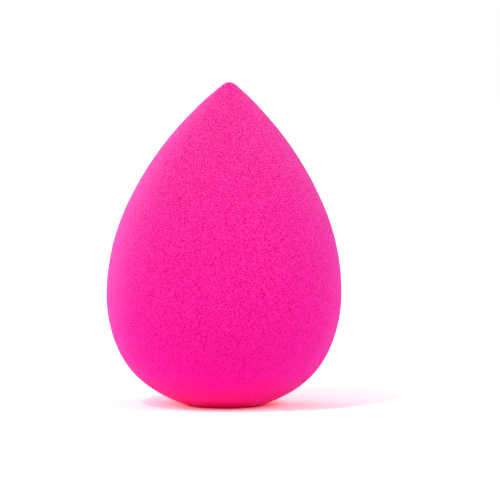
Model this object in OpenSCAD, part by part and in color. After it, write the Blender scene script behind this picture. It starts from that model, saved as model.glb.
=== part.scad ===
// Teardrop makeup sponge: one moulded piece of soft open-cell foam, standing on its round end.
// Millimetres, +Z up. The origin is the centre of the small flat that the sponge stands on.
// The outline is a chain of six arcs, each tangent to the next, turned about the sponge's own axis.

/* [Body] */
// Height of the tip above the surface that the sponge stands on
height = 60; // [54:0.5:68]
// Diameter at the widest place
belly_d = 43.7; // [38:0.1:48]
// Height of the widest place above the surface, measured along the sponge's axis
belly_h = 20.6; // [18:0.1:24]
// Lean of the axis towards +X, in degrees
lean = 1.5; // [0:0.1:5]

/* [Tip] */
// Radius of the rounded tip
tip_r = 1.8; // [0.8:0.1:4]
// Angle between the two flanks where they run into the tip, in degrees
tip_angle = 101.5; // [94:0.5:110]
// Turn above the widest place at which the belly gives way to the flatter flank, in degrees
flank_turn = 24; // [18:0.5:32]

/* [Round end] */
// Radius of the shoulder, the tightest curve of the round end
shoulder_r = 16.5; // [13:0.1:19]
// Turn below the widest place at which the shoulder starts, in degrees
shoulder_start = 25; // [18:0.5:32]
// Turn below the widest place at which the shoulder ends, in degrees
shoulder_end = 54; // [46:0.5:62]
// Depth to which the underside is pressed flat where it stands
foot_depth = 0.95; // [0.3:0.05:2]

/* [Hidden] */

// Largest turn between two neighbouring points of an arc, in degrees
arc_step = 2;
// Sides of the turned body in the preview
turn_sides = 120;
foam_pink = [0.97, 0.13, 0.61];

belly_r = belly_d / 2;
flank_end = tip_angle / 2;

// How far an arc of unit radius moves inwards and upwards as its normal turns from a to b
function inward(a, b) = cos(a) - cos(b);
function upward(a, b) = sin(b) - sin(a);

// Radii of two arcs, from turns a to b and c to d, that together move w inwards and h upwards
function two_radii(a, b, c, d, w, h) =
    let (cross = inward(a, b) * upward(c, d) - inward(c, d) * upward(a, b))
    [
        (w * upward(c, d) - h * inward(c, d)) / cross,
        (h * inward(a, b) - w * upward(a, b)) / cross
    ];

// Below the belly: the lower belly and the underside's dome share what the shoulder leaves
below = two_radii(
    0, shoulder_start, shoulder_end, 90,
    belly_r - shoulder_r * inward(shoulder_start, shoulder_end),
    belly_h + foot_depth - shoulder_r * upward(shoulder_start, shoulder_end)
);
lower_r = below[0];
dome_r = below[1];

// The dome's centre is the outline's own origin, so the lean turns the sponge on its round end
dome_z = dome_r - foot_depth;
belly_z = belly_h - dome_z;
tip_z = (height - tip_r - dome_z) / cos(lean);

// Above the belly: the upper belly and the flank share what the rounded tip leaves
above = two_radii(
    0, flank_turn, flank_turn, flank_end,
    belly_r - tip_r * inward(flank_end, 90),
    tip_z - belly_z + tip_r * upward(0, flank_end)
);
upper_r = above[0];
flank_r = above[1];

// Centres of the six arcs, as [distance from the axis, height above the dome's centre]
function toward(turn) = [cos(turn), sin(turn)];
dome_c = [0, 0];
lower_c = [belly_r - lower_r, belly_z];
shoulder_c = lower_c + (lower_r - shoulder_r) * toward(-shoulder_start);
upper_c = [belly_r - upper_r, belly_z];
flank_c = upper_c + (upper_r - flank_r) * toward(flank_turn);
tip_c = [0, tip_z];

// Points of an arc after its first one, which the arc before it ends on
function arc(centre, radius, from, to) =
    let (steps = ceil((to - from) / arc_step))
    [for (i = [1:steps]) centre + radius * toward(from + (to - from) * i / steps)];

outline = concat(
    [[0, -dome_r]],
    arc(dome_c, dome_r, -90, -shoulder_end),
    arc(shoulder_c, shoulder_r, -shoulder_end, -shoulder_start),
    arc(lower_c, lower_r, -shoulder_start, 0),
    arc(upper_c, upper_r, 0, flank_turn),
    arc(flank_c, flank_r, flank_turn, flank_end),
    arc(tip_c, tip_r, flank_end, 90)
);

// The whole drop, leaning on the dome's centre
module drop() {
    translate([0, 0, dome_z])
        rotate([0, lean, 0])
            rotate_extrude($fn = turn_sides)
                polygon(outline);
}

// Everything below the surface, under the round end
module below_surface() {
    translate([-belly_r, -belly_r, -belly_r])
        cube([belly_d, belly_d, belly_r]);
}

module sponge_body() {
    color(foam_pink)
        difference() {
            drop();
            below_surface();
        }
}

sponge_body();
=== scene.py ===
import math

import bpy
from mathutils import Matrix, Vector


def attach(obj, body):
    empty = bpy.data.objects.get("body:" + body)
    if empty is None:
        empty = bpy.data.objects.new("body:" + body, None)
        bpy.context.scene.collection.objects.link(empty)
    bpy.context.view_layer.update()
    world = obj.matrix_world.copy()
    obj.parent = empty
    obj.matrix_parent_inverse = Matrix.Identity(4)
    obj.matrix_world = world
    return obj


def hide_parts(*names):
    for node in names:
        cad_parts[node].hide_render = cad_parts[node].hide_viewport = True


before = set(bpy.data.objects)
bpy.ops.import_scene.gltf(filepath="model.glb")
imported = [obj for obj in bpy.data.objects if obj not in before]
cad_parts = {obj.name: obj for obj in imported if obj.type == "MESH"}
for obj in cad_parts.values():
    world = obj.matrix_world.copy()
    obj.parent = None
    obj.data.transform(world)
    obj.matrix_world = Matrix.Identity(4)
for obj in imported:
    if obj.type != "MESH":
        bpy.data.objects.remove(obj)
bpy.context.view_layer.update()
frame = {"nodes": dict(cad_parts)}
print("frame loaded:", ", ".join(frame["nodes"]))

mm = 0.001
deg = math.radians(1)
noiseMiddle = 0.5  # a noise texture's levels lie about this one


# Node trees, written as Python expressions

class Socket:
    # one output socket, or a number, of a node tree that is being built
    def __init__(self, tree, out):
        self.tree = tree
        self.out = out

    def maths(self, operation, *others):
        node = self.tree.nodes.new("ShaderNodeMath")
        node.operation = operation
        plug(self.tree, node.inputs[0], self)
        for place, other in enumerate(others):
            plug(self.tree, node.inputs[place + 1], other)
        return Socket(self.tree, node.outputs[0])

    def __add__(self, other):
        return self.maths("ADD", other)

    def __sub__(self, other):
        return self.maths("SUBTRACT", other)

    def __mul__(self, other):
        return self.maths("MULTIPLY", other)

    def __truediv__(self, other):
        return self.maths("DIVIDE", other)

    def __rsub__(self, other):
        return Socket(self.tree, other).maths("SUBTRACT", self)

    def __rtruediv__(self, other):
        return Socket(self.tree, other).maths("DIVIDE", self)

    __radd__ = __add__
    __rmul__ = __mul__


def plug(tree, socket, value):
    if isinstance(value, Socket):
        value = value.out
    if isinstance(value, bpy.types.NodeSocket):
        tree.links.new(value, socket)
    else:
        socket.default_value = value


class Tree:
    def __init__(self, tree):
        self.tree = tree

    def add(self, kind, settings=None, **sockets):
        # settings go first, because some of them change which sockets a node has
        node = self.tree.nodes.new(kind)
        for name, value in (settings or {}).items():
            setattr(node, name, value)
        for name, value in sockets.items():
            plug(self.tree, findInput(node, name), value)
        return node

    def out(self, node, name=None):
        return Socket(self.tree, node.outputs[name] if name else node.outputs[0])

    def value(self, kind, settings=None, pick=None, **sockets):
        return self.out(self.add(kind, settings, **sockets), pick)

    def mix(self, first, second, factor):
        # a blend of two colours; the node has sockets for each kind of data,
        # and 6 and 7 going in and 2 coming out are those for colour
        node = self.add("ShaderNodeMix", {"data_type": "RGBA"})
        for place, value in ((0, factor), (6, first), (7, second)):
            plug(self.tree, node.inputs[place], value)
        return Socket(self.tree, node.outputs[2])

    def vector(self, operation, *parts, **named):
        node = self.add("ShaderNodeVectorMath", {"operation": operation})
        for place, part in enumerate(parts):
            plug(self.tree, node.inputs[place], part)
        for name, value in named.items():
            plug(self.tree, node.inputs[name], value)
        return self.out(node)


def findInput(node, name):
    # a socket's name with its spaces and capitals, written in camelCase as a keyword
    for socket in node.inputs:
        if socket.enabled and camel(socket.name) == name:
            return socket
    raise KeyError(f"{node.bl_idname} has no input {name}: {[camel(s.name) for s in node.inputs]}")


def camel(words):
    first, *rest = words.replace("-", " ").split() or [""]
    return first.lower() + "".join(word.capitalize() for word in rest)


# The sponge's outline, as in the CAD model, and the relief of its foam

sponge = {
    "height": 60 * mm,  # from the surface to the tip
    "bellyDiameter": 43.7 * mm,
    "bellyHeight": 20.6 * mm,
    "lean": 1.5 * deg,  # towards +X
    "tipRadius": 1.8 * mm,
    "tipAngle": 101.5 * deg,  # between the flanks where they run into the tip
    "flankTurn": 24 * deg,  # turn above the belly at which the flatter flank starts
    "shoulderRadius": 16.5 * mm,  # the tightest curve of the round end
    "shoulderStart": 25 * deg,  # turns below the belly
    "shoulderEnd": 54 * deg,
    "footDepth": 0.95 * mm,  # how far the underside is pressed in
    "footEase": 0.12 * mm,  # rounding where the foam leaves the surface
    "detail": 8,  # subdivisions of the starting ball
    "swellSize": 2.6 * mm,  # slow unevenness left by the mould
    "swellDepth": 0.05 * mm,
    "grainSize": 0.62 * mm,  # clusters of cells that stand proud
    "grainDepth": 0.035 * mm,
    "swellOctaves": 1.0,
    "grainOctaves": 2.0,
    "octaveShare": 0.6,  # how strong each finer layer of noise is
    "seed": 7.3,
    "grainSeedShift": 4.0,  # so that the grain doesn't follow the unevenness
}


def inward(a, b):
    return math.cos(a) - math.cos(b)


def upward(a, b):
    return math.sin(b) - math.sin(a)


def twoRadii(a, b, c, d, width, rise):
    # radii of two arcs, from turns a to b and c to d, that together move width inwards and rise upwards
    cross = inward(a, b) * upward(c, d) - inward(c, d) * upward(a, b)
    first = (width * upward(c, d) - rise * inward(c, d)) / cross
    second = (rise * inward(a, b) - width * upward(a, b)) / cross
    return first, second


def outlineArcs(size):
    # the six arcs from the underside to the tip, each as (name, radius, first turn, last turn),
    # and the height of the dome's centre
    bellyRadius = size["bellyDiameter"] / 2
    start, end, top = size["shoulderStart"], size["shoulderEnd"], math.pi / 2
    lower, dome = twoRadii(
        0, start, end, top,
        bellyRadius - size["shoulderRadius"] * inward(start, end),
        size["bellyHeight"] + size["footDepth"] - size["shoulderRadius"] * upward(start, end))
    domeHeight = dome - size["footDepth"]
    flankEnd = size["tipAngle"] / 2
    tipCentre = (size["height"] - size["tipRadius"] - domeHeight) / math.cos(size["lean"])
    upper, flank = twoRadii(
        0, size["flankTurn"], size["flankTurn"], flankEnd,
        bellyRadius - size["tipRadius"] * inward(flankEnd, top),
        tipCentre - size["bellyHeight"] + domeHeight + size["tipRadius"] * upward(0, flankEnd))
    arcs = [
        ("Dome", dome, -top, -end),
        ("Shoulder", size["shoulderRadius"], -end, -start),
        ("Lower Belly", lower, -start, 0),
        ("Upper Belly", upper, 0, size["flankTurn"]),
        ("Flank", flank, size["flankTurn"], flankEnd),
        ("Tip", size["tipRadius"], flankEnd, top),
    ]
    return arcs, domeHeight


# The foam body: an even ball, drawn out along the outline by a Geometry Nodes tree

def buildDropTree(arcs, material):
    tree = bpy.data.node_groups.new("foamDrop", "GeometryNodeTree")
    face = tree.interface
    face.new_socket("Geometry", in_out="OUTPUT", socket_type="NodeSocketGeometry")
    plain = ["Lean", "Dome Height", "Foot Ease", "Swell Size", "Swell Depth",
             "Grain Size", "Grain Depth", "Seed"]
    radii = [f"{name} Radius" for name, *_ in arcs]
    turns = ["Start Turn"] + [f"{name} Turn" for name, *_ in arcs]
    face.new_socket("Detail", in_out="INPUT", socket_type="NodeSocketInt")
    for name in plain + radii + turns:
        face.new_socket(name, in_out="INPUT", socket_type="NodeSocketFloat")
    t = Tree(tree)
    given = t.add("NodeGroupInput")
    size = {name: t.out(given, name) for name in ["Detail"] + plain + radii + turns}

    ball = t.add("GeometryNodeMeshIcoSphere", radius=1.0, subdivisions=size["Detail"])
    way = t.vector("NORMALIZE", t.value("GeometryNodeInputPosition"))
    parts = t.add("ShaderNodeSeparateXYZ", vector=way)
    x, y, z = (t.out(parts, axis) for axis in "XYZ")

    # how far along the outline each point lies, from the underside's middle to the tip
    length = 0
    for place, radius in enumerate(radii):
        length = size[radius] * (size[turns[place + 1]] - size[turns[place]]) + length
    along = (1 - z.maths("ARCCOSINE") / math.pi) * length

    # each arc adds its own step outwards and upwards, and the turn of the surface
    out, up, turn = 0, size["Dome Radius"] * -1, size["Start Turn"]
    for place, radius in enumerate(radii):
        first, last, r = size[turns[place]], size[turns[place + 1]], size[radius]
        arcLength = r * (last - first)
        share = t.value("ShaderNodeClamp", value=along / arcLength, min=0.0, max=1.0)
        here = first + share * (last - first)
        out = r * (here.maths("COSINE") - first.maths("COSINE")) + out
        up = r * (here.maths("SINE") - first.maths("SINE")) + up
        turn = share * (last - first) + turn
        along = along - arcLength

    # turned about the sponge's own axis
    away = t.vector("NORMALIZE", t.value("ShaderNodeCombineXYZ", x=x, y=y))
    apart = t.add("ShaderNodeSeparateXYZ", vector=away)
    awayX, awayY = t.out(apart, "X"), t.out(apart, "Y")
    place = t.value("ShaderNodeCombineXYZ", x=awayX * out, y=awayY * out, z=up)
    flat = turn.maths("COSINE")
    normal = t.value("ShaderNodeCombineXYZ", x=awayX * flat, y=awayY * flat, z=turn.maths("SINE"))

    def leaning(vector):
        return t.value("ShaderNodeVectorRotate", {"rotation_type": "Y_AXIS"}, vector=vector,
                       angle=size["Lean"])

    place, normal = leaning(place), leaning(normal)
    lift = t.value("ShaderNodeCombineXYZ", z=size["Dome Height"])
    place = t.vector("ADD", place, lift)

    # the mould's slow unevenness, and the grain of cells that stand proud of it
    def noise(feature, octaves, seed):
        level = t.value("ShaderNodeTexNoise", {"noise_dimensions": "4D"}, pick="Fac", vector=place,
                        w=seed, scale=1 / feature, detail=octaves, roughness=sponge["octaveShare"])
        return level - noiseMiddle

    swell = noise(size["Swell Size"], sponge["swellOctaves"], size["Seed"]) * size["Swell Depth"]
    grainSeed = size["Seed"] + sponge["grainSeedShift"]
    grain = noise(size["Grain Size"], sponge["grainOctaves"], grainSeed) * size["Grain Depth"]
    place = t.vector("ADD", place, t.vector("SCALE", normal, Scale=swell + grain))

    # pressed flat where it stands
    lifted = t.add("ShaderNodeSeparateXYZ", vector=place)
    stand = t.out(lifted, "Z").maths("SMOOTH_MAX", 0.0, size["Foot Ease"])
    place = t.value("ShaderNodeCombineXYZ", x=t.out(lifted, "X"), y=t.out(lifted, "Y"), z=stand)

    shaped = t.value("GeometryNodeSetPosition", geometry=t.out(ball, "Mesh"), position=place)
    smooth = t.value("GeometryNodeSetShadeSmooth", geometry=shaped)
    real = t.value("GeometryNodeRealizeInstances", geometry=smooth)
    done = t.value("GeometryNodeSetMaterial", geometry=real, material=material)
    result = t.add("NodeGroupOutput")
    plug(tree, result.inputs["Geometry"], done)
    return tree


def plainMesh(name, tree, values):
    # the tree's result as a mesh of its own, with no modifier left
    holder = bpy.data.objects.new(name, bpy.data.meshes.new(name + "Start"))
    bpy.context.scene.collection.objects.link(holder)
    modifier = holder.modifiers.new("nodes", "NODES")
    modifier.node_group = tree
    for item in tree.interface.items_tree:
        if item.in_out == "INPUT":
            modifier[item.identifier] = values[item.name]
    graph = bpy.context.evaluated_depsgraph_get()
    mesh = bpy.data.meshes.new_from_object(holder.evaluated_get(graph))
    holder.modifiers.remove(modifier)
    holder.data = mesh
    mesh.name = name
    return holder


def buildSponge(material):
    arcs, domeHeight = outlineArcs(sponge)
    values = {
        "Lean": sponge["lean"],
        "Dome Height": domeHeight,
        "Foot Ease": sponge["footEase"],
        "Swell Size": sponge["swellSize"],
        "Swell Depth": sponge["swellDepth"],
        "Grain Size": sponge["grainSize"],
        "Grain Depth": sponge["grainDepth"],
        "Seed": sponge["seed"],
        "Detail": sponge["detail"],
        "Start Turn": arcs[0][2],
    }
    for name, radius, first, last in arcs:
        values[f"{name} Radius"] = radius
        values[f"{name} Turn"] = last
    foam = plainMesh("foamDrop", buildDropTree(arcs, material), values)
    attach(foam, "root")
    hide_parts("sponge_body")
    print("sponge:", len(foam.data.vertices), "points")
    return foam


# Foam: saturated pink, velvety, with a fine grain of open cells. The colours are linear.

foamLook = {
    "ridge": (1.0, 0.010, 0.452, 1),  # where cell walls stand proud, at the belly: the grain's own tone, with a painted sheen that makes the ridges a little paler
    "pit": (0.775, 0.0, 0.212, 1),  # inside the open cells: the grain's own tone, darkened by painted shade in the cells' hollows
    "paleRidge": (1.0, 0.074, 0.412, 1),  # the same two at the tip: ridges paler, a painted haze of the light from above, and both less blue with darker pits, painted shade against that stronger top light
    "palePit": (0.67, 0.0, 0.195, 1),
    "paleFrom": 4 * mm,
    "paleTo": 60 * mm,
    "footRidge": (1.0, 0.0, 0.27, 1),  # and under the round end: pits lifted to full red and both less blue, a painted glow of red light bounced between foam and floor, against the shade there
    "footPit": (1.0, 0.0, 0.16, 1),
    "footFrom": 7 * mm,
    "footTo": 0.5 * mm,
    "cellSize": 0.17 * mm,
    "cellOctaves": 0.0,  # the cells are all of one size
    "cellContrast": 14.0,  # how sharply ridge and pit part
    "cellRelief": 0.13 * mm,
    "roughness": 0.5,
    "specular": 0.012,
    "sheen": 0.085,
    "sheenRoughness": 0.35,
    "sheenTint": (1.0, 0.95, 1.0, 1),
    "depthOfGlow": 6 * mm,  # how far red light travels inside the foam
    "glow": 1.0,
    "glowTint": (1.0, 0.02, 0.10),  # how far each colour travels, as a share of that
}


def foamMaterial():
    material = bpy.data.materials.new("pinkFoam")
    material.use_nodes = True
    material.node_tree.nodes.clear()
    t = Tree(material.node_tree)
    look = foamLook
    where = t.value("ShaderNodeTexCoord", pick="Object")
    cells = t.value("ShaderNodeTexNoise", pick="Fac", vector=where, scale=1 / look["cellSize"],
                    detail=look["cellOctaves"])
    depth = (cells - noiseMiddle) * look["cellContrast"] + noiseMiddle
    height = t.value("ShaderNodeSeparateXYZ", pick="Z", vector=where)

    def blend(low, high):
        return t.value("ShaderNodeMapRange", value=height, fromMin=look[low], fromMax=look[high],
                       toMin=0.0, toMax=1.0)

    # foot grows towards the underside, where a painted red glow of bounced light takes over the colours
    # pale grows towards the tip, where a painted haze of light from above, with painted shade, is laid
    # on the colours
    pale, foot = blend("paleFrom", "paleTo"), blend("footFrom", "footTo")
    pit = t.mix(t.mix(look["pit"], look["palePit"], pale), look["footPit"], foot)
    ridge = t.mix(t.mix(look["ridge"], look["paleRidge"], pale), look["footRidge"], foot)
    colour = t.mix(pit, ridge, depth)
    bump = t.value("ShaderNodeBump", height=cells, distance=look["cellRelief"], strength=1.0)
    shader = t.add("ShaderNodeBsdfPrincipled", baseColor=colour, normal=bump,
                   roughness=look["roughness"], specularIorLevel=look["specular"],
                   sheenWeight=look["sheen"], sheenRoughness=look["sheenRoughness"],
                   sheenTint=look["sheenTint"],
                   subsurfaceWeight=look["glow"], subsurfaceScale=look["depthOfGlow"],
                   subsurfaceRadius=look["glowTint"])
    t.add("ShaderNodeOutputMaterial", surface=t.out(shader))
    return material


# The studio: a white sweep, an even white surround, and four lamps

studio = {
    "floorWhite": 0.98,  # how much light it throws back
    "floorSeen": 1.28,  # how bright the camera sees it, as in an overexposed sweep
    "floorReach": 3.0,  # metres from the middle to each side
    "surround": 0.44,  # how strongly it lights the sponge; the camera sees it as white
    "lamps": [
        # strength, azimuth to the left of the camera, elevation, spread
        (0.75, 38 * deg, 56 * deg, 4 * deg),  # casts the shadow that shows, to the right
        (1.0, 50 * deg, 35 * deg, 30 * deg),  # a wide soft box on each side
        (1.3, -65 * deg, 35 * deg, 30 * deg),
        (1.7, 135 * deg, 12 * deg, 30 * deg),  # a low one behind, which brightens the left rim
    ],
    "bounces": 16,  # between the underside and the floor
}

view = {
    "elevation": 3.25 * deg,
    "distance": 700 * mm,
    "aim": (4.76 * mm, 0, 28.84 * mm),  # what the middle of the picture sees
    "pixelsPerMetre": 5382.6,  # at the aim
    "pictureWidth": 500,
    "sensor": 36.0,
    "clipStart": 0.01,
    "clipEnd": 20,
}


def buildFloor():
    material = bpy.data.materials.new("whiteFloor")
    material.use_nodes = True
    material.node_tree.nodes.clear()
    t = Tree(material.node_tree)
    seen = t.value("ShaderNodeLightPath", pick="Is Camera Ray")
    white = seen * (studio["floorSeen"] - studio["floorWhite"]) + studio["floorWhite"]
    shader = t.add("ShaderNodeBsdfDiffuse", color=white)
    t.add("ShaderNodeOutputMaterial", surface=t.out(shader))
    reach = studio["floorReach"]
    mesh = bpy.data.meshes.new("floor")
    corners = [(-reach, -reach, 0), (reach, -reach, 0), (reach, reach, 0), (-reach, reach, 0)]
    mesh.from_pydata(corners, [], [(0, 1, 2, 3)])
    mesh.materials.append(material)
    floor = bpy.data.objects.new("floor", mesh)
    bpy.context.scene.collection.objects.link(floor)


def buildSurround():
    world = bpy.data.worlds.new("whiteSurround")
    bpy.context.scene.world = world
    world.use_nodes = True
    world.node_tree.nodes.clear()
    t = Tree(world.node_tree)
    ray = t.add("ShaderNodeLightPath")
    seen = t.out(ray, "Is Camera Ray").maths("MAXIMUM", t.out(ray, "Is Glossy Ray"))
    seen = seen.maths("MAXIMUM", t.out(ray, "Is Transmission Ray"))
    strength = seen * (1 - studio["surround"]) + studio["surround"]
    background = t.add("ShaderNodeBackground", color=(1, 1, 1, 1), strength=strength)
    t.add("ShaderNodeOutputWorld", surface=t.out(background))


def buildLamps():
    for place, (strength, azimuth, elevation, spread) in enumerate(studio["lamps"]):
        lamp = bpy.data.lights.new(f"lamp{place}", "SUN")
        lamp.energy = strength
        lamp.angle = spread
        sun = bpy.data.objects.new(f"lamp{place}", lamp)
        level = math.cos(elevation)
        back = Vector((-math.sin(azimuth) * level, -math.cos(azimuth) * level, math.sin(elevation)))
        sun.location = back
        sun.rotation_euler = (-back).to_track_quat("-Z", "Y").to_euler()
        bpy.context.scene.collection.objects.link(sun)


def buildCamera():
    data = bpy.data.cameras.new("camera")
    data.sensor_width = view["sensor"]
    data.lens = view["pixelsPerMetre"] * view["distance"] / view["pictureWidth"] * view["sensor"]
    camera = bpy.data.objects.new("camera", data)
    back = Vector((0, -math.cos(view["elevation"]), math.sin(view["elevation"])))
    camera.location = Vector(view["aim"]) + back * view["distance"]
    camera.rotation_euler = (-back).to_track_quat("-Z", "Y").to_euler()
    data.clip_start = view["clipStart"]
    data.clip_end = view["clipEnd"]
    bpy.context.scene.collection.objects.link(camera)
    bpy.context.scene.camera = camera


bpy.context.scene.view_settings.view_transform = "Standard"
bpy.context.scene.cycles.diffuse_bounces = studio["bounces"]
bpy.context.scene.cycles.max_bounces = studio["bounces"]
buildSponge(foamMaterial())
buildFloor()
buildSurround()
buildLamps()
buildCamera()
print("studio and camera in place")
